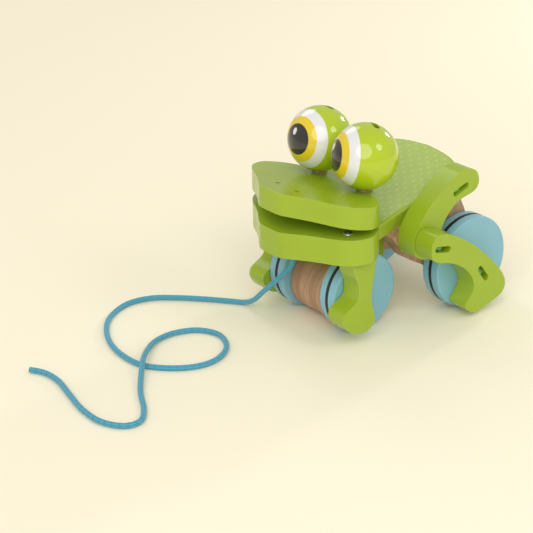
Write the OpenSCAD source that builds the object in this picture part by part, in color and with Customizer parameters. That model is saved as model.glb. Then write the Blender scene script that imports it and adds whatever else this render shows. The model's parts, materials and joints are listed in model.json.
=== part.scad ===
// Pull-along jumping frog: painted wooden boards on two off-centre axles.
// The frog faces -Y, its left side is +X, and it stands on Z = 0.

/* [Boards] */
// Thickness of the leg boards
leg_t = 17.8; // [17:0.1:18]
// Thickness of the back board
torso_t = 11; // [11:0.5:14]
// Thickness of the upper jaw
upper_t = 17.5; // [16:0.5:18]
// Thickness of the lower jaw
lower_t = 21; // [18:0.5:21]
// Half width of the jaws
jaw_half = 64; // [62:0.5:66]
// Half width of the back at the hips
hip_half = 43.6; // [43:0.1:43.7]

/* [Wheels] */
// Radius of the front wheels
front_r = 32; // [31:0.5:33]
// Radius of the rear wheels
rear_r = 38; // [37:0.5:38.5]
// Width of a wheel
wheel_w = 17; // [15:0.1:17]
// Distance between the wheel centres, front to rear
wheelbase = 94.5; // [94:0.5:98]
// How far the front wheels' bore is from their centre
front_throw = 6; // [4:0.5:7]
// How far the rear wheels' bore is from their centre
rear_throw = 5; // [3:0.5:5]
// Radius of the steel axles
axle_r = 3; // [2.5:0.1:3]

/* [Eyes] */
// Radius of an eye ball
eye_r = 26; // [24:0.5:26]
// Distance of an eye from the middle
eye_x = 26.2; // [26.2:0.1:30]

/* [Cord] */
// Diameter of the pull cord
cord_d = 4.4; // [3:0.1:4.6]

/* [Hidden] */
$fn = 64;

green = "yellowgreen";
wood = "rosybrown";
blue = "skyblue";
steel = "silver";
nose_y = -63;                                // front of the jaws, from the front wheels' centre
shift = -(wheelbase + rear_r + nose_y) / 2;  // puts the middle of the length at Y = 0
front_x = 22.2;                              // inner face of a front wheel
rear_x = 61.8 - wheel_w;                     // inner face of a rear wheel
front_leg_x = 40;                            // inner face of a front leg
thigh_x = 44;                                // inner face of a thigh
shin_x = thigh_x + leg_t + 0.4;              // inner face of a shin
cheek_x = 43.7;                              // outer face of a rear cheek
cheek_t = 14;
drum_half = 21.2;                            // half the length of the front drum
drum_r = 24.6;
run = 0.05;                                  // radial clearance of a shaft in its bore
front_axle_z = front_r - front_throw;
rear_axle_z = rear_r - rear_throw;

// The faces of the sloping boards lie at z = height + slope * y
torso_slope = 0.45;
torso_top = 72;
torso_bottom = torso_top - torso_t / cos(atan(torso_slope));
torso_front = 20;                            // where the back board begins and the lower jaw ends
lower_top = 92;
lower_bottom = lower_top - lower_t;
upper_slope = -0.17;
upper_top = 113.4;
upper_bottom = upper_top - upper_t / cos(atan(upper_slope));

eye_y = 10.5;
eye_z = upper_top + 26.1;
eye_seat = upper_top + upper_slope * eye_y;  // the jaw's top face under an eye
eye_flat = eye_z - eye_r + 0.8;              // height of the small flat under an eye
eye_gap = 0.3;                               // under that flat
eye_slot_y = 7.5;                            // middle of an eye's slot, behind the eye's middle
gaze_left = -23;                             // how far the left eye is turned
peg_r = 4;
collar_r = 6;
hip = [80.2, 103];                           // Y and Z of the pivots
knee = [43.8, 70];
hip_slot = [79.7, 104.5];
foot = [89.3, 36];
hip_angle = 18;                              // lean of each slot
knee_angle = -13;
foot_angle = -54;
ring_w = 3.2;                                // width and depth of a rubber ring
ring_depth = 2.4;
rim_round = 1.4;
slot_l = 17;
slot_w = 5;
slot_depth = 8;
elastic_r = 1.9;
elastic_bend = 4;                            // radius of the loop an elastic makes in its slot
pin_r = 2.5;
tack_at = [47, -24.5];                       // screw in the mouth that holds a front leg
tack_l = 28;
dowel_at = [49, -10];                        // dowel that helps it
dowel_r = 3;
dowel_l = 26;
dowel_deep = 12;                             // how far a dowel goes into its leg
knot_at = [-7, -33, 74];
knot_r = 2.5;

// Half outlines, X and Y, from the middle of the front to the middle of the back
jaw_side = [[0, nose_y], [11, -62.5], [19, -58], [28, -51.5], [38, -45.5], [51, -38.5], [60, -30],
    [jaw_half, -19], [62, -10], [54.5, 0], [43, 9], [33, 15], [20, 22], [0, 26]];
torso_side = [[33, torso_front], [34.5, 28], [37, 40], [42, 55], [hip_half, 68],
    [hip_half, 84], [41, 94], [34, 99], [20, 102.5], [0, 104.5]];

// Leg outlines, Y and Z
thigh_line = [[78, 119.3], [69, 115], [57, 107.3], [46, 98.5], [37.3, 88.7], [31.6, 79.3],
    [29.8, 70], [32, 62], [38, 57], [45.5, 55], [53, 57.5], [57.5, 65], [59.8, 77], [66.5, 87.5],
    [78, 95.7], [93, 99], [98.3, 103], [99.2, 109], [96, 116], [88, 119.8]];
shin_line = [[31.3, 71.5], [32.8, 78.5], [38.3, 83], [48.3, 81.5], [62.3, 74.5], [81.3, 61],
    [98.3, 45], [110.3, 31.5], [115.3, 20.5], [111.8, 12], [98.3, 7.5], [85.3, 4.5], [77.3, 5.5],
    [71.8, 10.5], [70.8, 14.5], [77.8, 22.5], [79.3, 29.5], [75.3, 38.5], [66.3, 48],
    [53.3, 55.5], [40.3, 59.5], [33.3, 64]];
front_leg_line = [[-29, 85], [-27, 63], [-23, 52], [-22.5, 44], [-25, 38], [-35, 32.5], [-38, 28],
    [-37, 22], [-31, 14.5], [-19, 10.3], [-10, 12.5], [-6, 18.5], [-8, 28.5], [-9.7, 37],
    [-8.5, 50], [-5.5, 67], [-3.5, 85]];
cheek_line = [[22, 90], [24, 80], [27, 69], [32.3, 61.6], [37.5, 54.6], [44.1, 48.5], [57.1, 40.9],
    [68, 34], [77, 26], [86, 20.5], [96, 20], [104, 24.5], [107.5, 34], [108, 48], [107, 62],
    [103, 76], [98, 88], [96, 108], [80, 115], [40, 115]];

// The pull cord's path: down out of the lower jaw, between the front feet, along the floor
lay = cord_d / 2 + 0.1;
cord_route = [knot_at, [-7, -33, 66], [-7.5, -33, 58], [-9, -33.5, 50], [-16, -37, 40],
    [-24, -41, 30], [-34, -43, 20], [-45, -44, 9], [-56, -45, 3], [-68, -53, lay],
    [-84, -66, lay], [-101, -82, lay], [-114, -99, lay], [-117, -120, lay], [-106, -143, lay],
    [-87, -159, lay], [-64, -169, lay], [-42, -172, lay], [-22, -169, lay], [-5, -156, lay],
    [6, -138, lay], [6, -119, lay], [-6, -102, lay], [-25, -95, lay], [-42, -103, lay],
    [-50, -120, lay], [-48, -138, lay + 0.6], [-38, -153, lay + 2.4], [-23, -168, lay + 4.8],
    [-6, -182, lay + 2.2], [12, -195, lay + 0.4], [32, -206, lay], [45, -218, lay],
    [43, -231, lay], [27, -240, lay], [4, -240.5, lay], [-19, -236, lay], [-43, -231, lay],
    [-60, -232, lay], [-72, -238, lay]];

// A smooth curve through points, n steps from each point to the next
function bend(a, b, c, d, t) = b + 0.5 * t * (c - a + t * (2 * a - 5 * b + 4 * c - d
    + t * (3 * (b - c) + d - a)));
function closed_curve(p, n) = let (m = len(p)) [for (i = [0 : m - 1], k = [0 : n - 1])
    bend(p[(i + m - 1) % m], p[i], p[(i + 1) % m], p[(i + 2) % m], k / n)];
function open_curve(p, n) = let (m = len(p)) concat([for (i = [0 : m - 2], k = [0 : n - 1])
    bend(p[max(i - 1, 0)], p[i], p[i + 1], p[min(i + 2, m - 1)], k / n)], [p[m - 1]]);
function both_sides(half) = concat(half, [for (i = [len(half) - 1 : -1 : 0])
    if (half[i].x > 0) [-half[i].x, half[i].y]]);
function unit(v) = v / norm(v);

// Everything is drawn from the front wheels' centre, then moved along by shift
module place()
    translate([0, shift, 0]) children();

module on_side(side)
    if (side > 0) children(); else mirror([1, 0, 0]) children();

// A board standing in the Y-Z plane, from x outwards
module side_board(line, x)
    translate([x, 0, 0]) rotate([90, 0, 90]) linear_extrude(leg_t) polygon(closed_curve(line, 4));

module rod_x(r, x0, x1, y, z)
    translate([x0, y, z]) rotate([0, 90, 0]) cylinder(r = r, h = x1 - x0);

// Everything under, or over, a sloping plane
module under(height, slope)
    translate([0, 0, height]) rotate([atan(slope), 0, 0]) translate([-200, -250, -400]) cube([400, 500, 400]);

module over(height, slope)
    translate([0, 0, height]) rotate([atan(slope), 0, 0]) translate([-200, -250, 0]) cube([400, 500, 400]);

// A frame standing on the lower jaw's top face
module on_lower_jaw(at)
    translate([at.x, at.y, lower_top]) children();

// A slot with round ends, cut into the outer face of a leg board
module slot(face, at, angle)
    translate([face - slot_depth, at.x, at.y]) rotate([angle, 0, 0]) {
        for (s = [-1, 1])
            translate([0, s * (slot_l - slot_w) / 2, 0]) rotate([0, 90, 0])
                cylinder(d = slot_w, h = slot_depth + 1);
        translate([0, -(slot_l - slot_w) / 2, -slot_w / 2]) cube([slot_depth + 1, slot_l - slot_w, slot_w]);
    }

// The elastic that shows in a slot: a half loop that comes out of the slot's floor and goes back in
module slot_elastic(face, at, angle, middle)
    translate([face - slot_depth, at.x, at.y]) rotate([angle, 0, 0]) translate([0, middle, 0])
        rotate([0, 0, -90]) rotate_extrude(angle = 180) translate([elastic_bend, 0])
            circle(r = elastic_r, $fn = 32);

// Back board, with a hole in each side for a hip pin
module torso() color(green) place() difference() {
    intersection() {
        linear_extrude(200) polygon(open_curve(torso_outline(), 1));
        under(torso_top, torso_slope);
    }
    under(torso_bottom, torso_slope);
    for (side = [1, -1]) on_side(side) rod_x(pin_r, hip_half - 13, hip_half + 10, hip.x, hip.y);
}
function torso_outline() = let (half = open_curve(torso_side, 4)) both_sides(half);

// Block that carries the jaws and the back, hollowed to sit on the front drum
module neck_block() color(green) place() difference() {
    translate([-21, -10, 44]) cube([42, 47, 40]);
    intersection() {
        over(lower_bottom, 0);
        translate([-50, -50, 0]) cube([100, 50 + torso_front, 200]);
    }
    intersection() {
        over(torso_bottom, torso_slope);
        translate([-50, torso_front, 0]) cube([100, 100, 200]);
    }
    rod_x(drum_r, -30, 30, 0, front_axle_z);
}

module lower_jaw() color(green) place() difference() {
    union() {
        translate([0, 0, lower_bottom]) linear_extrude(lower_t) jaw_shape();
        // the wedge that carries the upper jaw
        intersection() {
            translate([-18, 2, lower_top - 5]) cube([36, 20, 20]);
            under(upper_bottom, upper_slope);
        }
    }
    translate([-100, torso_front, 0]) cube([200, 100, 200]);
    translate(knot_at - [0, 0, 20]) cylinder(r = knot_r + 0.1, h = 26);
    for (side = [1, -1]) on_side(side) {
        on_lower_jaw(tack_at) translate([0, 0, -tack_l]) cylinder(r = 1.6, h = tack_l + 1);
        dowels();
    }
}

module upper_jaw() color(green) place() difference() {
    intersection() {
        linear_extrude(200) jaw_shape();
        under(upper_top, upper_slope);
    }
    under(upper_bottom, upper_slope);
    for (s = [1, -1]) {
        translate([s * 11.4, -44.7, upper_top + 2]) cylinder(r = 1.9, h = 12);
        translate([s * eye_x, eye_y, eye_seat - 12]) cylinder(r = peg_r, h = 20);
    }
}
module jaw_shape() polygon(closed_curve(both_sides(jaw_side), 4));

// A round-headed screw on each side of the lower jaw, inside the mouth
module jaw_tacks() color(steel) place()
    for (side = [1, -1]) on_side(side) on_lower_jaw(tack_at) {
        rotate_extrude() polygon([[0, 0], [3.8, 0], [3.5, 0.8], [2.6, 1.5], [1.3, 1.9], [0, 2]]);
        translate([0, 0, -tack_l]) cylinder(r = 1.6, h = tack_l);
    }

module dowels()
    on_lower_jaw(dowel_at)
        translate([0, 0, -lower_t - dowel_deep]) cylinder(r = dowel_r, h = dowel_l);

module leg_dowels() color(wood) place()
    for (side = [1, -1]) on_side(side) dowels();

// Ball with a small flat under it, a bore for its peg and a slot on top
module eye(s, gaze) color(green) place() difference() {
    translate([s * eye_x, eye_y, eye_z]) sphere(r = eye_r, $fn = 96);
    translate([-100, -100, 0]) cube([200, 200, eye_flat]);
    translate([s * eye_x, eye_y, eye_flat - 1]) cylinder(r = peg_r + run, h = 15);
    in_eye_slot(s, gaze) {
        for (x = [-4.5, 4.5]) translate([x, 0, 0]) cylinder(r = 2.5, h = 12);
        translate([-4.5, -2.5, 0]) cube([9, 5, 12]);
    }
}

// A frame on the floor of an eye's slot
module in_eye_slot(s, gaze)
    translate([s * eye_x, eye_y, eye_z + eye_r - 8]) rotate([0, 0, gaze]) translate([0, eye_slot_y, 0])
        children();

// Peg with a small collar that keeps the eye off the jaw
module eye_peg(s) color(wood) place() {
    translate([s * eye_x, eye_y, eye_seat - 12]) cylinder(r = peg_r, h = 26);
    difference() {
        translate([s * eye_x, eye_y, eye_seat - 4])
            cylinder(r = collar_r, h = eye_flat - eye_gap - eye_seat + 4);
        under(upper_top, upper_slope);
    }
}

// A half loop of elastic that stands in the slot
module eye_elastic(s, gaze) color("seagreen") place()
    in_eye_slot(s, gaze) translate([-1, 0, 0]) rotate([90, 0, 0])
        rotate_extrude(angle = 180) translate([3, 0]) circle(r = 1.6, $fn = 32);

module front_leg() color(green) difference() {
    side_board(front_leg_line, front_leg_x);
    over(lower_bottom, 0);
    dowels();
    on_lower_jaw(tack_at) translate([0, 0, -tack_l]) cylinder(r = 1.6, h = tack_l);
}

module front_drum() color(wood) place() difference() {
    rod_x(drum_r, -drum_half, drum_half, 0, front_axle_z);
    rod_x(axle_r + run, -30, 30, 0, front_axle_z);
}

module front_axle() color(steel) place()
    rod_x(axle_r, -front_x - 13, front_x + 13, 0, front_axle_z);

module rear_axle() color(steel) place()
    rod_x(axle_r, -rear_x - 13, rear_x + 13, wheelbase, rear_axle_z);

// A disc about X with a groove for its rubber ring and an off-centre blind bore
module wheel(r, x, y, throw) color(blue) difference() {
    translate([x, y, r]) rotate([0, 90, 0]) rotate_extrude($fn = 128) polygon([[0, 0],
        [r - rim_round, 0], [r - rim_round * 0.3, rim_round * 0.3], [r, rim_round],
        [r, (wheel_w - ring_w) / 2], [r - ring_depth, (wheel_w - ring_w) / 2],
        [r - ring_depth, (wheel_w + ring_w) / 2], [r, (wheel_w + ring_w) / 2],
        [r, wheel_w - rim_round], [r - rim_round * 0.3, wheel_w - rim_round * 0.3],
        [r - rim_round, wheel_w], [0, wheel_w]]);
    rod_x(axle_r, x - 1, x + 13, y, r - throw);
}

module ring(r, x, y) color("dimgray")
    translate([x + (wheel_w - ring_w) / 2, y, r]) rotate([0, 90, 0]) rotate_extrude($fn = 128)
        translate([r - ring_depth, 0]) square([ring_depth, ring_w]);

module washer(x, thick, r, y, z)
    difference() {
        rod_x(r, x, x + thick, y, z);
        rod_x(axle_r + run, x - 1, x + thick + 1, y, z);
    }

module axle_washers() color(steel) place()
    for (side = [1, -1]) on_side(side) {
        washer(drum_half + 0.1, 0.8, 7, 0, front_axle_z);
        washer(cheek_x + 0.1, 0.7, 8, wheelbase, rear_axle_z);
    }

// Cheek under the back, reaching down to carry the rear axle
module rear_cheek() color(wood) difference() {
    translate([cheek_x - cheek_t, 0, 0]) rotate([90, 0, 90]) linear_extrude(cheek_t)
        polygon(closed_curve(cheek_line, 4));
    over(torso_bottom, torso_slope);
    rod_x(axle_r + run, 20, 60, wheelbase, rear_axle_z);
}

module thigh() color(green) difference() {
    side_board(thigh_line, thigh_x);
    rod_x(pin_r + run, thigh_x - 1, thigh_x + leg_t - slot_depth + 0.1, hip.x, hip.y);
    rod_x(pin_r, thigh_x + 5, thigh_x + leg_t + 1, knee.x, knee.y);
    slot(thigh_x + leg_t, hip_slot, hip_angle);
}

module shin() color(green) difference() {
    side_board(shin_line, shin_x);
    rod_x(pin_r + run, shin_x - 1, shin_x + leg_t - slot_depth + 0.1, knee.x, knee.y);
    slot(shin_x + leg_t, knee, knee_angle);
    slot(shin_x + leg_t, foot, foot_angle);
}

module hip_pin() color(wood)
    rod_x(pin_r, hip_half - 13, thigh_x + leg_t - slot_depth - 0.6, hip.x, hip.y);

module knee_pin() color(wood)
    rod_x(pin_r, thigh_x + 5, shin_x + leg_t - slot_depth - 0.6, knee.x, knee.y);

module hip_elastic() color("limegreen")
    slot_elastic(thigh_x + leg_t, hip_slot, hip_angle, -2.2);

module knee_elastic() color("limegreen")
    slot_elastic(shin_x + leg_t, knee, knee_angle, -2.2);

module foot_elastic() color("limegreen")
    slot_elastic(shin_x + leg_t, foot, foot_angle, -1.2);

// A round tube swept along the cord's path, its rings square to the path
module pull_cord() color("steelblue") place() {
    path = open_curve(cord_route, 2);
    count = len(path);
    sides = 8;
    points = [for (i = [0 : count - 1])
        let (along = unit(path[min(i + 1, count - 1)] - path[max(i - 1, 0)]),
             across = unit(cross(along, i < 12 ? [0, 1, 0] : [0, 0, 1])),
             third = cross(along, across))
        for (k = [0 : sides - 1])
            path[i] + cord_d / 2 * (cos(360 * k / sides) * across + sin(360 * k / sides) * third)];
    faces = concat([[for (k = [0 : sides - 1]) k]],
        [for (i = [0 : count - 2], k = [0 : sides - 1]) let (n = (k + 1) % sides)
            [i * sides + k, (i + 1) * sides + k, (i + 1) * sides + n, i * sides + n]],
        [[for (k = [sides - 1 : -1 : 0]) (count - 1) * sides + k]]);
    polyhedron(points, faces);
}

module cord_knot() color("steelblue") place()
    translate(knot_at) cylinder(r = knot_r, h = 5);

torso();
neck_block();
lower_jaw();
upper_jaw();
jaw_tacks();
leg_dowels();
eye(1, gaze_left);  // eye_left
eye(-1, 0);  // eye_right
eye_peg(1);  // eye_peg_left
eye_peg(-1);  // eye_peg_right
eye_elastic(1, gaze_left);  // eye_elastic_left
eye_elastic(-1, 0);  // eye_elastic_right
place() front_leg();  // front_leg_left
place() on_side(-1) front_leg();  // front_leg_right
front_drum();
front_axle();
place() wheel(front_r, front_x, 0, front_throw);  // front_wheel_left
place() on_side(-1) wheel(front_r, front_x, 0, front_throw);  // front_wheel_right
place() ring(front_r, front_x, 0);  // front_ring_left
place() on_side(-1) ring(front_r, front_x, 0);  // front_ring_right
axle_washers();
place() rear_cheek();  // rear_cheek_left
place() on_side(-1) rear_cheek();  // rear_cheek_right
rear_axle();
place() wheel(rear_r, rear_x, wheelbase, rear_throw);  // rear_wheel_left
place() on_side(-1)  // rear_wheel_right
    wheel(rear_r, rear_x, wheelbase, rear_throw);
place() ring(rear_r, rear_x, wheelbase);  // rear_ring_left
place() on_side(-1) ring(rear_r, rear_x, wheelbase);  // rear_ring_right
place() thigh();  // thigh_left
place() on_side(-1) thigh();  // thigh_right
place() shin();  // shin_left
place() on_side(-1) shin();  // shin_right
place() hip_pin();  // hip_pin_left
place() on_side(-1) hip_pin();  // hip_pin_right
place() knee_pin();  // knee_pin_left
place() on_side(-1) knee_pin();  // knee_pin_right
place() hip_elastic();  // hip_elastic_left
place() on_side(-1) hip_elastic();  // hip_elastic_right
place() knee_elastic();  // knee_elastic_left
place() on_side(-1) knee_elastic();  // knee_elastic_right
place() foot_elastic();  // foot_elastic_left
place() on_side(-1) foot_elastic();  // foot_elastic_right
pull_cord();
cord_knot();
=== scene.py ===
"""Looks for a wooden pull-along frog: enamelled boards, turned eyes, blue wheels and a braided pull cord."""

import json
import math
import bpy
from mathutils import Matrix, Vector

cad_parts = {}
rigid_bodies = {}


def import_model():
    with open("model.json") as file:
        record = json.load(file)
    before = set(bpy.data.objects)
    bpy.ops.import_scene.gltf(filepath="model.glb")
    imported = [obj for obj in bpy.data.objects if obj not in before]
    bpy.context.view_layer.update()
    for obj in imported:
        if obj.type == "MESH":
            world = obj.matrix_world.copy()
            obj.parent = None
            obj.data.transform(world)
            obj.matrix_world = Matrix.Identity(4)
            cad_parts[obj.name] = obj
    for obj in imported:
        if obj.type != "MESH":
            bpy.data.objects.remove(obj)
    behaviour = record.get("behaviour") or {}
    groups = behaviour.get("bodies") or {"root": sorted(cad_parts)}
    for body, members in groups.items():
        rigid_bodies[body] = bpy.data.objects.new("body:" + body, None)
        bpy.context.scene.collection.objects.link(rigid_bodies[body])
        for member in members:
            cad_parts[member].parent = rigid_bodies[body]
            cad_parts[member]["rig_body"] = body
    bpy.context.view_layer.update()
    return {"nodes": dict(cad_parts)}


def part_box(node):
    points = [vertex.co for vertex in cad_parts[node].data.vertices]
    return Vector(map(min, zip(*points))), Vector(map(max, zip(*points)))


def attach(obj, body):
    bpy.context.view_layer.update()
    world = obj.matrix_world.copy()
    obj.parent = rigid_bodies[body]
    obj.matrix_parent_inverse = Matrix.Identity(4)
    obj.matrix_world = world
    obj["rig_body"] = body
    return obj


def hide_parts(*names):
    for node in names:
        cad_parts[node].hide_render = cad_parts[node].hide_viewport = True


bl_info = {
    "name": "Pull-along Frog",
    "version": (1, 0, 0),
    "blender": (4, 5, 0),
    "location": "3D View > Sidebar > Frog",
    "description": "Finishes the boards, eyes, wheels and pull cord of a wooden pull-along frog",
    "category": "Object",
}

import bmesh
import bpy
from mathutils import Matrix, Vector

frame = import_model()
MM = 0.001

# Y of the front wheels' centre: the cord's route and the eyes are measured from there
FRONT_Y = sum(p.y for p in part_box("front_wheel_left")) / 2
BACK_SLOPE = 0.45   # rise of the back board for each step to the rear
BACK_TOP = 72 * MM  # height of its top face over the front wheels' centre


def linear(code):
    """An sRGB hex colour as the linear red, green and blue that Blender's sockets take."""
    channels = [int(code[i:i + 2], 16) / 255 for i in (1, 3, 5)]
    return tuple(c / 12.92 if c <= 0.04045 else ((c + 0.055) / 1.055) ** 2.4 for c in channels)


# ---------------------------------------------------------------- settings

def colour(name, description, code):
    return bpy.props.FloatVectorProperty(name=name, description=description, default=linear(code),
                                         subtype="COLOR", size=3, min=0, max=1)


def length(name, description, millimetres):
    return bpy.props.FloatProperty(name=name, description=description, default=millimetres * MM,
                                   subtype="DISTANCE", unit="LENGTH", min=0, precision=4)


def angle(name, description, degrees):
    return bpy.props.FloatProperty(name=name, description=description, default=math.radians(degrees),
                                   subtype="ANGLE", unit="ROTATION")


class FrogColours(bpy.types.PropertyGroup):
    green: colour("Green", "Enamel on the boards", "#9DB72B")
    # Painted highlight: a paler green on the boards' rounded edges, where they catch the light
    painted_edge_highlight: colour("Eased edge", "Thin enamel where a board's edge was sanded round", "#B4CC6A")
    dot: colour("Dots", "Raised dots printed on the back", "#A9C45A")
    eye_green: colour("Eye green", "Enamel on the back of the eyes", "#B2C81C")
    # Also the colour of the painted highlight on each eye
    eye_white_and_highlight: colour("Eye white", "Enamel ring round the iris", "#E6E7EA")
    iris: colour("Iris", "Yellow enamel ring", "#E8CC28")
    pupil: colour("Pupil", "Black enamel", "#2B2727")
    blue: colour("Wheel blue", "Enamel on the wheels", "#86BCD2")
    wood: colour("Wood", "Bare wood of the drum and the cheeks", "#C9A284")
    wood_dark: colour("Wood grain", "Darker late wood", "#A68063")
    cord: colour("Cord", "Dyed polyester strands", "#3A9CBC")
    elastic: colour("Elastic", "Braided sheath of the leg elastics", "#5DBB48")
    # Painted shade: a darker green than the leg elastics, for the shade inside the eye slots
    eye_elastic: colour("Eye elastic", "Braided sheath of the elastics in the eyes", "#33552A")
    floor: colour("Floor", "Matt paper sweep", "#FFF8E2")


class FrogSizes(bpy.types.PropertyGroup):
    edge: length("Eased edge", "Radius sanded on the boards' edges", 1.3)
    back_edge: length("Back's edge", "Wide rounding of the back board's top edge", 8.5)
    dot: length("Dot", "Diameter of a raised dot", 2.7)
    dot_across: length("Dot spacing across", "Side to side distance of two dots in a row", 10.5)
    dot_along: length("Dot spacing along", "Distance of two rows along the back", 9.0)
    cord: length("Cord", "Diameter of the pull cord", 4.4)
    cord_length: length("Cord length", "Length of the pull cord from knot to cut end", 732)
    strand: length("Strand", "Length of one crossing of the cord's braid", 5.6)


class FrogStage(bpy.types.PropertyGroup):
    azimuth: angle("Azimuth", "Camera's turn from the frog's front towards its left side", 51.62)
    elevation: angle("Elevation", "Camera's height above the floor, as an angle", 24.82)
    roll: angle("Roll", "Camera's lean about its own view", -1.04)
    distance: length("Distance", "From the camera to what it looks at", 1270.5)
    target: bpy.props.FloatVectorProperty(
        name="Target", description="What the camera looks at", size=3, subtype="XYZ", unit="LENGTH",
        default=(-35.5 * MM, -72.7 * MM, 40 * MM))
    lens: bpy.props.FloatProperty(
        name="Lens", description="Focal length in millimetres", default=107.6, min=20)


# ---------------------------------------------------------------- materials

def add(tree, kind, ins=(), **settings):
    """Adds one node, sets its settings, and gives its inputs values or links. Returns the node."""
    node = tree.nodes.new("ShaderNode" + kind)
    for key, value in settings.items():
        setattr(node, key, value)
    for key, value in dict(ins).items():
        if isinstance(value, bpy.types.NodeSocket):
            tree.links.new(value, node.inputs[key])
        else:
            node.inputs[key].default_value = value
    return node


def rgba(c):
    return (c[0], c[1], c[2], 1.0)


def new_material(name, c):
    """An empty material that shows its main colour in the viewport."""
    material = bpy.data.materials.new(name)
    material.use_nodes = True
    material.node_tree.nodes.clear()
    material.diffuse_color = rgba(c)
    return material, material.node_tree


def shade(tree, bump=None, **ins):
    """The surface shader and the output. bump is a (height socket, distance in metres) pair."""
    if bump:
        ins["Normal"] = add(tree, "Bump", {"Height": bump[0], "Distance": bump[1]}).outputs["Normal"]
    surface = add(tree, "BsdfPrincipled", {k.replace("_", " "): v for k, v in ins.items()})
    add(tree, "OutputMaterial", {"Surface": surface.outputs["BSDF"]})


def varied(tree, where, size, low, high):
    """A number from low to high that wanders over patches about size across."""
    cloud = add(tree, "TexNoise", {"Vector": where, "Scale": 1 / size, "Detail": 3.0})
    return add(tree, "MapRange", {"Value": cloud.outputs["Fac"], "From Min": 0.3, "From Max": 0.7,
                                  "To Min": low, "To Max": high}).outputs["Result"]


def mixed(tree, share, a, b):
    """Colour a where share is 0, colour b where it is 1."""
    node = add(tree, "Mix", data_type="RGBA")
    for index, value in ((0, share), (6, a), (7, b)):
        if isinstance(value, bpy.types.NodeSocket):
            tree.links.new(value, node.inputs[index])
        else:
            node.inputs[index].default_value = value
    return node.outputs[2]


def drawn_out(tree, place, millimetres, detail):
    """Noise whose patches have their own length in millimetres along each axis."""
    scale = [1 / (size * MM) for size in millimetres]
    scaled = add(tree, "VectorMath", {0: place, 1: scale}, operation="MULTIPLY").outputs["Vector"]
    return add(tree, "TexNoise", {"Vector": scaled, "Scale": 1.0, "Detail": detail}).outputs["Fac"]


def enamel(name, c, gloss=0.22, grain_along=None, dots=None):
    """Alkyd enamel brushed over sanded beech: an even coat that still lets the grain show as faint ridges,
    with soft patches of gloss where it lay thicker."""
    material, tree = new_material(name, c)
    place = add(tree, "TexCoord").outputs["Object"]
    # Grain ridges 1.2 mm apart and long along the board; real ones are finer, and would not show
    ridges = 1 / (1.2 * MM)
    stretch = [ridges, ridges, ridges]
    if grain_along is not None:
        stretch[grain_along] = ridges / 30
    grain = add(tree, "TexNoise", {"Vector": add(tree, "VectorMath", {0: place, 1: stretch},
                                                operation="MULTIPLY").outputs["Vector"],
                                   "Scale": 1.0, "Detail": 2.0}).outputs["Fac"]
    base = mixed(tree, varied(tree, place, 30 * MM, 0.0, 0.16), rgba(c), rgba([v * 0.72 for v in c]))
    pale = add(tree, "MapRange", {"Value": grain, "From Min": 0.55, "From Max": 0.75, "To Max": 0.10})
    base = mixed(tree, pale.outputs["Result"], base, rgba([min(1, v * 1.25) for v in c]))
    height = grain
    if dots:
        share = dot_pattern(tree, place, dots)
        base = mixed(tree, share, base, rgba(dots.colour))
        height = add(tree, "Math", {0: share, 1: 1.6, 2: grain}, operation="MULTIPLY_ADD").outputs["Value"]
    shade(tree, bump=(height, 0.03 * MM), Base_Color=base,
          Roughness=varied(tree, place, 12 * MM, gloss * 0.85, gloss * 1.15), IOR=1.5)
    return material


class Dots:
    """Spacing, size and colour of the raised dots on the back."""

    def __init__(self, sizes, c):
        self.across, self.along, self.size, self.colour = sizes.dot_across, sizes.dot_along, sizes.dot, c


def dot_pattern(tree, place, dots):
    """1 on a dot and 0 between them. Every second row is half a step to the side."""
    rise = math.sqrt(1 + BACK_SLOPE ** 2)
    parts = []
    for shift in (0.0, 0.5):
        cell = add(tree, "VectorMath", {0: place, 1: (1 / dots.across, rise / dots.along, 0),
                                        2: (shift, shift, 0)},
                   operation="MULTIPLY_ADD").outputs["Vector"]
        cell = add(tree, "VectorMath", {0: cell}, operation="FRACTION").outputs["Vector"]
        cell = add(tree, "VectorMath", {0: cell, 1: (dots.across, dots.along, 0),
                                        2: (-dots.across / 2, -dots.along / 2, 0)},
                   operation="MULTIPLY_ADD").outputs["Vector"]
        away = add(tree, "VectorMath", {0: cell}, operation="LENGTH").outputs["Value"]
        on_dot = add(tree, "MapRange", {"Value": away, "From Min": dots.size * 0.62,
                                        "From Max": dots.size * 0.38})
        parts.append(on_dot.outputs["Result"])
    return add(tree, "Math", {0: parts[0], 1: parts[1]}, operation="MAXIMUM").outputs["Value"]


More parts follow.
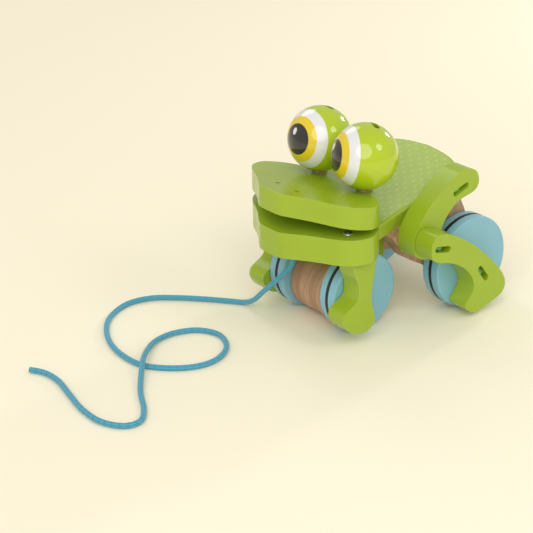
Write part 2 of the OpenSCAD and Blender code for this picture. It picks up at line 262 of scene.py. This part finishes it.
def eye_enamel(name, colours, centre, gaze, glint):
    """Gloss enamel on a turned ball, painted in rings on the lathe, each with a crisp rim, and a painted
    highlight: a white oval near the pupil.
    """
    material, tree = new_material(name, colours.eye_green)
    place = add(tree, "TexCoord").outputs["Object"]
    spoke = add(tree, "VectorMath", {0: place, 1: centre}, operation="SUBTRACT").outputs["Vector"]
    spoke = add(tree, "VectorMath", {0: spoke}, operation="NORMALIZE").outputs["Vector"]

    def within(axis, degrees, soft):
        """1 nearer to the axis than degrees, 0 further away."""
        lean = add(tree, "VectorMath", {0: spoke, 1: axis}, operation="DOT_PRODUCT").outputs["Value"]
        low, high = (math.cos(math.radians(degrees + d)) for d in (soft, -soft))
        return add(tree, "MapRange", {"Value": lean, "From Min": low, "From Max": high}).outputs["Result"]

    base = rgba(colours.eye_green)
    for degrees, c in ((EYE_WHITE, colours.eye_white_and_highlight), (EYE_IRIS, colours.iris), (EYE_PUPIL, colours.pupil)):
        base = mixed(tree, within(gaze, degrees, 0.5), base, rgba(c))
    # Painted highlight: a white oval in the eye-white colour, standing in for a reflection of a lamp
    off = add(tree, "VectorMath", {0: spoke, 1: glint}, operation="SUBTRACT").outputs["Vector"]
    off = add(tree, "VectorMath", {0: off, 1: (1, 1, GLINT_FLAT)}, operation="MULTIPLY").outputs["Vector"]
    off = add(tree, "VectorMath", {0: off}, operation="LENGTH").outputs["Value"]
    on_glint = add(tree, "MapRange", {"Value": off, "From Min": GLINT_RIM[0], "From Max": GLINT_RIM[1]})
    base = mixed(tree, on_glint.outputs["Result"], base, rgba(colours.eye_white_and_highlight))
    ripple = add(tree, "TexNoise", {"Vector": place, "Scale": 1 / (2.2 * MM), "Detail": 2.0}).outputs["Fac"]
    shade(tree, bump=(ripple, 0.02 * MM), Base_Color=base,
          Roughness=varied(tree, place, 15 * MM, 0.10, 0.17), IOR=1.5,
          Coat_Weight=0.6, Coat_Roughness=0.06)
    return material


def bare_wood(name, colours, turned):
    """Rubberwood, oiled: turned pieces show the lathe's rings and short dark pores, sawn ones long grain."""
    material, tree = new_material(name, colours.wood)
    place = add(tree, "TexCoord").outputs["Object"]
    # Growth bands 3 to 4 mm apart, pores 0.5 to 0.7 mm wide, both drawn out along the grain
    if turned:
        band, pore = drawn_out(tree, place, (3, 60, 60), 3.0), drawn_out(tree, place, (0.5, 9, 9), 1.0)
    else:
        band, pore = drawn_out(tree, place, (4, 4, 45), 3.0), drawn_out(tree, place, (0.7, 0.7, 9), 1.0)
    late = add(tree, "MapRange", {"Value": band, "From Min": 0.35, "From Max": 0.65})
    base = mixed(tree, late.outputs["Result"], rgba(colours.wood), rgba(colours.wood_dark))
    deep = add(tree, "MapRange", {"Value": pore, "From Min": 0.58, "From Max": 0.72, "To Max": 0.45})
    base = mixed(tree, deep.outputs["Result"], base, rgba([v * 0.5 for v in colours.wood_dark]))
    shade(tree, bump=(pore, 0.08 * MM), Base_Color=base, Roughness=0.5, IOR=1.48)
    return material


def rubber(name):
    """Moulded nitrile ring: deep grey, matt, with a little dust."""
    dark = linear("#1C1C1D")
    material, tree = new_material(name, dark)
    place = add(tree, "TexCoord").outputs["Object"]
    dust = varied(tree, place, 4 * MM, 0.0, 0.35)
    fine = add(tree, "TexNoise", {"Vector": place, "Scale": 1 / (0.6 * MM), "Detail": 3.0}).outputs["Fac"]
    shade(tree, bump=(fine, 0.04 * MM), Base_Color=mixed(tree, dust, rgba(dark), rgba(linear("#38383A"))),
          Roughness=0.62, IOR=1.52)
    return material


def drawn_steel(name):
    """Zinc-plated steel rods, washers and screws: a grey metal with fine lines drawn along it."""
    grey = linear("#B4B4B0")
    material, tree = new_material(name, grey)
    place = add(tree, "TexCoord").outputs["Object"]
    scratch = drawn_out(tree, place, (20, 0.3, 0.3), 2.0)
    tone = mixed(tree, varied(tree, place, 5 * MM, 0, 0.5), rgba(grey), rgba(linear("#8A8B88")))
    shade(tree, bump=(scratch, 0.02 * MM), Base_Color=tone, Metallic=1.0, Roughness=0.34)
    return material


def elastic_braid(name, c):
    """Polyester sheath braided over rubber: a diagonal weave, with painted shade between the threads."""
    material, tree = new_material(name, c)
    place = add(tree, "TexCoord").outputs["Object"]
    # Threads 0.8 mm apart; the real 0.4 mm ones would not show
    crossed = add(tree, "VectorMath", {0: place, 1: (1, -1, 1)}, operation="MULTIPLY").outputs["Vector"]
    threads = [add(tree, "TexWave", {"Vector": where, "Scale": 1 / (0.8 * MM) / 20,
                                     "Distortion": 1.0, "Detail": 1.0},
                   wave_type="BANDS", bands_direction="DIAGONAL").outputs["Fac"]
               for where in (place, crossed)]
    weave = add(tree, "Math", {0: threads[0], 1: threads[1]}, operation="MAXIMUM").outputs["Value"]
    # Painted shade: the colour is darkened to 45 % between the threads
    shade(tree, bump=(weave, 0.2 * MM), Base_Color=mixed(tree, weave, rgba([v * 0.45 for v in c]), rgba(c)),
          Roughness=0.6, IOR=1.5, Sheen_Weight=0.25)
    return material


def cord_braid(name, c):
    """Spun polyester, round braid: matt strands, with painted highlight on their crowns and painted shade
    where they cross.
    """
    material, tree = new_material(name, c)
    place = add(tree, "TexCoord").outputs["Object"]
    crown = add(tree, "Attribute", attribute_name="crown").outputs["Fac"]
    fibre = add(tree, "TexNoise", {"Vector": place, "Scale": 1 / (0.5 * MM), "Detail": 2.0}).outputs["Fac"]
    # Painted highlight and shade: the colour is lighter on the strands' crowns and darker in the dips where
    # they cross
    lit = add(tree, "Math", {0: fibre, 1: 0.5, 2: crown}, operation="MULTIPLY_ADD").outputs["Value"]
    lit = add(tree, "MapRange", {"Value": lit, "From Min": 0.25, "From Max": 1.15}).outputs["Result"]
    base = mixed(tree, lit, rgba([v * 0.38 for v in c]), rgba([min(1, v * 1.25 + 0.03) for v in c]))
    shade(tree, bump=(fibre, 0.15 * MM), Base_Color=base, Roughness=0.72, IOR=1.5, Sheen_Weight=0.3)
    return material


def paper(name, c):
    """Matt paper sweep: no shine, a barely uneven tone."""
    material, tree = new_material(name, c)
    place = add(tree, "TexCoord").outputs["Object"]
    tone = mixed(tree, varied(tree, place, 0.8, 0.0, 0.02), rgba(c), rgba([v * 0.9 for v in c]))
    shade(tree, Base_Color=tone, Roughness=0.95, Specular_IOR_Level=0.1)
    return material


# ---------------------------------------------------------------- pieces

SMOOTH_UNDER = math.radians(42)  # two faces that meet at less than this shade as one surface
FLAT_UNDER = math.radians(0.6)   # and these are one flat face


def piece(name, node, materials, rounds=()):
    """Makes a finished copy of a CAD node and lets it stand for the node.
    rounds holds (radius, steps, test) triples: each rounds the sharp outward edges that pass its test."""
    shape = bmesh.new()
    shape.from_mesh(frame["nodes"][node].data)
    bmesh.ops.remove_doubles(shape, verts=shape.verts, dist=1e-6)
    if rounds:
        bmesh.ops.dissolve_limit(shape, angle_limit=FLAT_UNDER, verts=shape.verts, edges=shape.edges)
    for face in shape.faces:
        face.material_index = 0
    for radius, steps, test in rounds:
        edges = [e for e in shape.edges if len(e.link_faces) == 2 and e.is_convex
                 and e.calc_face_angle() > SMOOTH_UNDER and test(e)]
        bmesh.ops.bevel(shape, geom=edges, offset=radius, offset_type="OFFSET", segments=steps, profile=0.5,
                        affect="EDGES", clamp_overlap=True, material=1 if len(materials) > 1 else -1)
    for face in shape.faces:
        face.smooth = True
    for edge in shape.edges:
        edge.smooth = len(edge.link_faces) == 2 and edge.calc_face_angle() < SMOOTH_UNDER
    return placed(name, shape, node, materials)


def placed(name, shape, node, materials):
    """Turns a finished bmesh into an object that rides on the node's body."""
    mesh = bpy.data.meshes.new(name)
    shape.to_mesh(mesh)
    shape.free()
    for material in materials:
        mesh.materials.append(material)
    made = bpy.data.objects.new(name, mesh)
    bpy.context.scene.collection.objects.link(made)
    even = made.modifiers.new("Even shading", "WEIGHTED_NORMAL")
    even.keep_sharp = True
    even.weight = 100
    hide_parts(node)
    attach(made, frame["nodes"][node]["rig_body"])
    return made


def finish(node, material):
    """Gives a CAD node that is right as it is its material, with its round faces smooth."""
    return piece(node + "_piece", node, [material])


def bend(a, b, c, d, t):
    """A point on the smooth curve from b to c, t of the way."""
    return b + 0.5 * t * (c - a + t * (2 * a - 5 * b + 4 * c - d + t * (3 * (b - c) + d - a)))


def smooth_line(points, steps):
    """A smooth curve through points, with steps stretches from each to the next."""
    last = len(points) - 1
    line = [bend(points[max(i - 1, 0)], points[i], points[i + 1], points[min(i + 2, last)], k / steps)
            for i in range(last) for k in range(steps)]
    return line + [points[last]]


def along(line, step):
    """Points every step along a line, from its start to its end."""
    reach = [0.0]
    for a, b in zip(line, line[1:]):
        reach.append(reach[-1] + (b - a).length)
    count = round(reach[-1] / step)
    made, i = [], 0
    for k in range(count + 1):
        s = reach[-1] * k / count
        while i < len(line) - 2 and reach[i + 1] < s:
            i += 1
        made.append(line[i].lerp(line[i + 1], (s - reach[i]) / (reach[i + 1] - reach[i])))
    return made


# ---------------------------------------------------------------- the pull cord

LAY = 2.3  # height of the cord's middle where it lies on the floor, in millimetres
CORD_STEP = 0.8 * MM     # from one ring of points to the next
CORD_SIDES = 18          # points in a ring
CORD_RELIEF = 0.32 * MM  # depth of the dips between the strands
STRANDS = 6
CROWN_FROM, CROWN_SPAN = 0.55, 0.45  # where in its swell a strand's crown starts, and how far it goes on

# From the knot in the lower jaw, between the front feet and along the floor, in millimetres
CORD_ROUTE = [
    (-7, -33, 74), (-7, -33, 66), (-7.5, -33, 58), (-9, -33.5, 50), (-16, -37, 40), (-24, -41, 30),
    (-34, -43, 20), (-45, -44, 9), (-56, -45, 3), (-68, -53, LAY), (-84, -66, LAY),
    (-101, -82, LAY), (-114, -99, LAY), (-117, -120, LAY), (-106, -143, LAY), (-87, -159, LAY),
    (-64, -169, LAY), (-42, -172, LAY), (-22, -169, LAY), (-5, -156, LAY), (6, -138, LAY),
    (6, -119, LAY), (-6, -102, LAY), (-25, -95, LAY), (-42, -103, LAY), (-50, -120, LAY),
    (-48, -138, LAY + 0.6), (-38, -153, LAY + 2.4), (-23, -168, LAY + 4.8), (-6, -182, LAY + 2.2),
    (12, -195, LAY + 0.4), (32, -206, LAY), (45, -218, LAY), (43, -231, LAY), (27, -240, LAY),
    (4, -240.5, LAY), (-19, -236, LAY), (-43, -231, LAY), (-60, -232, LAY), (-72, -238, LAY)]


class FROG_OT_pull_cord(bpy.types.Operator):
    """Lays the braided pull cord from the lower jaw along the floor"""
    bl_idname = "frog.pull_cord"
    bl_label = "Pull cord"

    def execute(self, context):
        sizes = context.scene.frog_sizes
        route = [Vector((x, y, z)) * MM + Vector((0, FRONT_Y, 0)) for x, y, z in CORD_ROUTE]
        line = along(smooth_line(route, 12), CORD_STEP)
        radius = sizes.cord / 2
        shape = bmesh.new()
        crown = shape.verts.layers.float.new("crown")
        rings, run, side = [], 0.0, Vector((0, 1, 0))
        for i, point in enumerate(line):
            ahead = (line[min(i + 1, len(line) - 1)] - line[max(i - 1, 0)]).normalized()
            side = (side - ahead * side.dot(ahead)).normalized()
            up = ahead.cross(side)
            run += (point - line[i - 1]).length if i else 0.0
            ring = []
            for k in range(CORD_SIDES):
                turn = 2 * math.pi * k / CORD_SIDES
                # Two sets of strands wind opposite ways; the one on top changes at each crossing
                left = math.sin(STRANDS / 2 * turn + math.pi * run / sizes.strand * 2)
                right = math.sin(STRANDS / 2 * turn - math.pi * run / sizes.strand * 2)
                rise = max(0.0, (max(abs(left), abs(right)) - CROWN_FROM) / CROWN_SPAN)
                out = math.cos(turn) * side + math.sin(turn) * up
                spot = point + (radius - CORD_RELIEF * (1 - rise)) * out
                vert = shape.verts.new(spot)
                # crown also sets the strand's colour in the material: painted highlight on the crowns,
                # painted shade in the dips
                vert[crown] = rise
                ring.append(vert)
            rings.append(ring)
        for a, b in zip(rings, rings[1:]):
            for k in range(CORD_SIDES):
                n = (k + 1) % CORD_SIDES
                shape.faces.new((a[k], a[n], b[n], b[k])).smooth = True
        shape.faces.new(list(reversed(rings[0])))
        shape.faces.new(rings[-1])
        bmesh.ops.recalc_face_normals(shape, faces=shape.faces)
        mesh = bpy.data.meshes.new("pull_cord_braid")
        shape.to_mesh(mesh)
        shape.free()
        mesh.materials.append(cord_braid("Braided polyester", context.scene.frog_colours.cord))
        cord = bpy.data.objects.new("pull_cord_braid", mesh)
        context.scene.collection.objects.link(cord)
        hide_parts("pull_cord")
        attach(cord, "frog")
        knot = finish("cord_knot", mesh.materials[0])
        return {"FINISHED"}


# ---------------------------------------------------------------- boards, eyes, wheels and the rest

def anywhere(edge):
    return True


class FROG_OT_back(bpy.types.Operator):
    """Finishes the back board: a wide rounded rim round a flat, dotted top"""
    bl_idname = "frog.back"
    bl_label = "Back"

    def execute(self, context):
        colours, sizes = context.scene.frog_colours, context.scene.frog_sizes
        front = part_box("torso")[0].y

        def top_rim(edge):
            on_top = all(abs(v.co.z - BACK_TOP - BACK_SLOPE * (v.co.y - FRONT_Y)) < 0.1 * MM
                         for v in edge.verts)
            return on_top and max(v.co.y for v in edge.verts) > front + 0.5 * MM

        def low_rim(edge):
            rounded = any(f.material_index for f in edge.link_faces)
            return min(v.co.y for v in edge.verts) > front + 0.5 * MM and not rounded

        enamels = [enamel("Green enamel on the back", colours.green, grain_along=1),
                   enamel("Green enamel on the back's rim", colours.green, grain_along=1),
                   enamel("Green enamel with dots", colours.green, grain_along=1,
                          dots=Dots(sizes, colours.dot))]
        back = piece("back_board", "torso", enamels,
                     [(sizes.back_edge, 7, top_rim), (sizes.edge, 3, low_rim)])
        flat = max(back.data.polygons, key=lambda p: p.area * (p.normal.z > 0.5))
        flat.material_index = 2
        return {"FINISHED"}


class FROG_OT_boards(bpy.types.Operator):
    """Finishes the jaws, the neck and the legs: enamelled boards with eased edges"""
    bl_idname = "frog.boards"
    bl_label = "Jaws and legs"

    def execute(self, context):
        colours, sizes = context.scene.frog_colours, context.scene.frog_sizes
        # The second material of each pair goes on the rounded edges: its paler green there is painted
        # highlight
        flat = [enamel("Green enamel on the jaws", colours.green, grain_along=0),
                enamel("Painted highlight on the jaw edges", colours.painted_edge_highlight, gloss=0.24, grain_along=0)]
        upright = [enamel("Green enamel on the legs", colours.green, grain_along=1),
                   enamel("Painted highlight on the leg edges", colours.painted_edge_highlight, gloss=0.24, grain_along=1)]
        ease = [(sizes.edge, 3, anywhere)]
        for node in ("upper_jaw", "lower_jaw", "neck_block"):
            piece(node + "_board", node, flat, ease)
        for side in ("left", "right"):
            for leg in ("front_leg", "thigh", "shin"):
                piece(f"{leg}_{side}_board", f"{leg}_{side}", upright, ease)
        return {"FINISHED"}


EYE_PUPIL, EYE_IRIS, EYE_WHITE = 28.0, 43.0, 62.0  # degrees from the gaze out to each ring's rim
# Painted highlight on each eye: a white oval put where a lamp's reflection sits
GLINT_FLAT = 0.62          # the painted glint is an upright oval, this wide for its height
GLINT_RIM = 0.084, 0.072   # outside and inside of its soft rim, in shares of the eye's radius


def aimed(turn, lift):
    """A direction from an eye's centre: degrees of turn from straight ahead to the left, and of lift."""
    a, b = math.radians(turn), math.radians(lift)
    return (math.sin(a) * math.cos(b), -math.cos(a) * math.cos(b), math.sin(b))


class FROG_OT_eyes(bpy.types.Operator):
    """Paints the turned eyes and sets the elastics in their slots"""
    bl_idname = "frog.eyes"
    bl_label = "Eyes"

    def execute(self, context):
        colours = context.scene.frog_colours
        # The eye elastics' darker green is painted shade of the slots they sit in
        braid = elastic_braid("Elastic darkened as painted shade of the eye slots", colours.eye_elastic)
        for side, turn, lift in (("left", -23, 9), ("right", 0, 12)):
            low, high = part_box(f"eye_{side}")
            centre = Vector(((low.x + high.x) / 2, (low.y + high.y) / 2, high.z - (high.x - low.x) / 2))
            # glint: where the painted highlight sits on each eye
            gaze, glint = aimed(turn, lift), aimed(turn - 6, lift + 13)
            paint = eye_enamel(f"Gloss enamel on the {side} eye", colours, centre, gaze, glint)
            piece(f"eye_{side}_ball", f"eye_{side}", [paint])
            finish(f"eye_elastic_{side}", braid)
            finish(f"eye_peg_{side}", bare_wood(f"Peg wood {side}", colours, turned=False))
        return {"FINISHED"}


class FROG_OT_wheels(bpy.types.Operator):
    """Finishes the wheels, their rubber rings and the axles"""
    bl_idname = "frog.wheels"
    bl_label = "Wheels"

    def execute(self, context):
        blue = enamel("Blue enamel", context.scene.frog_colours.blue, gloss=0.34, grain_along=0)
        black, steel = rubber("Black nitrile"), drawn_steel("Plated steel rod")
        for end in ("front", "rear"):
            for side in ("left", "right"):
                finish(f"{end}_wheel_{side}", blue)
                finish(f"{end}_ring_{side}", black)
            finish(f"{end}_axle", steel)
        finish("axle_washers", steel)
        finish("jaw_tacks", steel)
        return {"FINISHED"}


class FROG_OT_wood(bpy.types.Operator):
    """Finishes the drum, the cheeks, the dowels and the pins in bare wood"""
    bl_idname = "frog.wood"
    bl_label = "Bare wood"

    def execute(self, context):
        colours, sizes = context.scene.frog_colours, context.scene.frog_sizes
        turned = bare_wood("Turned rubberwood", colours, turned=True)
        sawn = bare_wood("Sawn rubberwood", colours, turned=False)
        finish("front_drum", turned)
        for side in ("left", "right"):
            piece(f"rear_cheek_{side}_board", f"rear_cheek_{side}", [sawn],
                  [(sizes.edge, 3, anywhere)])
            finish(f"hip_pin_{side}", turned)
            finish(f"knee_pin_{side}", turned)
        finish("leg_dowels", sawn)
        return {"FINISHED"}


class FROG_OT_elastics(bpy.types.Operator):
    """Finishes the elastics in the slots of the legs"""
    bl_idname = "frog.elastics"
    bl_label = "Leg elastics"

    def execute(self, context):
        braid = elastic_braid("Green elastic", context.scene.frog_colours.elastic)
        for place in ("hip", "knee", "foot"):
            for side in ("left", "right"):
                finish(f"{place}_elastic_{side}", braid)
        return {"FINISHED"}


# ---------------------------------------------------------------- stage

# Name, direction seen from the camera (right, up, towards it), distance in metres, diameter in metres, watts
LIGHTS = (
    ("window", (0.61, 0.61, -0.50), 1.4, 0.16, 3),
    ("softbox", (0.67, 0.42, 0.62), 1.7, 0.6, 3),
    ("fill", (-0.10, 0.20, 0.95), 2.5, 2.4, 30),
    ("overhead", (-0.35, 0.85, -0.35), 2.4, 1.2, 6),
)
WORLD_STRENGTH = 0.62
FLOOR_REACH = 6.0  # metres from the frog to the floor's sides


class FROG_OT_stage(bpy.types.Operator):
    """Sets up the camera, the floor and the soft lights"""
    bl_idname = "frog.stage"
    bl_label = "Stage"

    def execute(self, context):
        scene, stage = context.scene, context.scene.frog_stage
        a, e, lean = stage.azimuth, stage.elevation, stage.roll
        back = Vector((math.sin(a) * math.cos(e), -math.cos(a) * math.cos(e), math.sin(e)))
        level = Vector((math.cos(a), math.sin(a), 0))
        right = level * math.cos(lean) + back.cross(level) * math.sin(lean)
        up = back.cross(right)
        turn = Matrix((right, up, back)).transposed()
        camera = bpy.data.objects.new("camera", bpy.data.cameras.new("camera"))
        camera.data.lens = stage.lens
        camera.data.clip_start = 0.05
        camera.matrix_world = Matrix.Translation(Vector(stage.target) + back * stage.distance) @ turn.to_4x4()
        scene.collection.objects.link(camera)
        scene.camera = camera

        middle = Vector((0, 0, 0.09))
        for name, where, reach, size, watts in LIGHTS:
            lamp = bpy.data.lights.new(name, "AREA")
            lamp.shape, lamp.size, lamp.energy = "DISK", size, watts
            spot = middle + (turn @ Vector(where).normalized()) * reach
            holder = bpy.data.objects.new(name, lamp)
            facing = (spot - middle).to_track_quat("Z", "Y").to_matrix().to_4x4()
            holder.matrix_world = Matrix.Translation(spot) @ facing
            scene.collection.objects.link(holder)
        world = bpy.data.worlds.new("pale room")
        world.use_nodes = True
        world.node_tree.nodes["Background"].inputs["Color"].default_value = rgba(linear("#FBF7EC"))
        world.node_tree.nodes["Background"].inputs["Strength"].default_value = WORLD_STRENGTH
        scene.world = world
        scene.view_settings.view_transform = "Standard"

        corners = [(x * FLOOR_REACH, y * FLOOR_REACH, 0) for x, y in ((-1, -1), (1, -1), (1, 1), (-1, 1))]
        sheet = bpy.data.meshes.new("floor")
        sheet.from_pydata(corners, [], [(0, 1, 2, 3)])
        sheet.materials.append(paper("Cream paper", scene.frog_colours.floor))
        floor = bpy.data.objects.new("floor", sheet)
        scene.collection.objects.link(floor)
        return {"FINISHED"}


OPERATORS = (FROG_OT_stage, FROG_OT_pull_cord, FROG_OT_back, FROG_OT_boards, FROG_OT_eyes, FROG_OT_wheels,
             FROG_OT_wood, FROG_OT_elastics)


class FROG_PT_panel(bpy.types.Panel):
    """Lists the frog's settings and pieces"""
    bl_idname = "FROG_PT_panel"
    bl_label = "Pull-along Frog"
    bl_space_type = "VIEW_3D"
    bl_region_type = "UI"
    bl_category = "Frog"

    def draw(self, context):
        for group in (context.scene.frog_sizes, context.scene.frog_colours, context.scene.frog_stage):
            for key in group.__annotations__:
                self.layout.prop(group, key)
        for operator in OPERATORS:
            self.layout.operator(operator.bl_idname)


CLASSES = (FrogColours, FrogSizes, FrogStage) + OPERATORS + (FROG_PT_panel,)


def register():
    for made in CLASSES:
        bpy.utils.register_class(made)
    bpy.types.Scene.frog_colours = bpy.props.PointerProperty(type=FrogColours)
    bpy.types.Scene.frog_sizes = bpy.props.PointerProperty(type=FrogSizes)
    bpy.types.Scene.frog_stage = bpy.props.PointerProperty(type=FrogStage)


def unregister():
    del bpy.types.Scene.frog_stage, bpy.types.Scene.frog_sizes, bpy.types.Scene.frog_colours
    for made in reversed(CLASSES):
        bpy.utils.unregister_class(made)


def main():
    register()
    for operator in OPERATORS:
        getattr(bpy.ops.frog, operator.bl_idname.split(".")[1])()


if __name__ == "__main__":
    main()
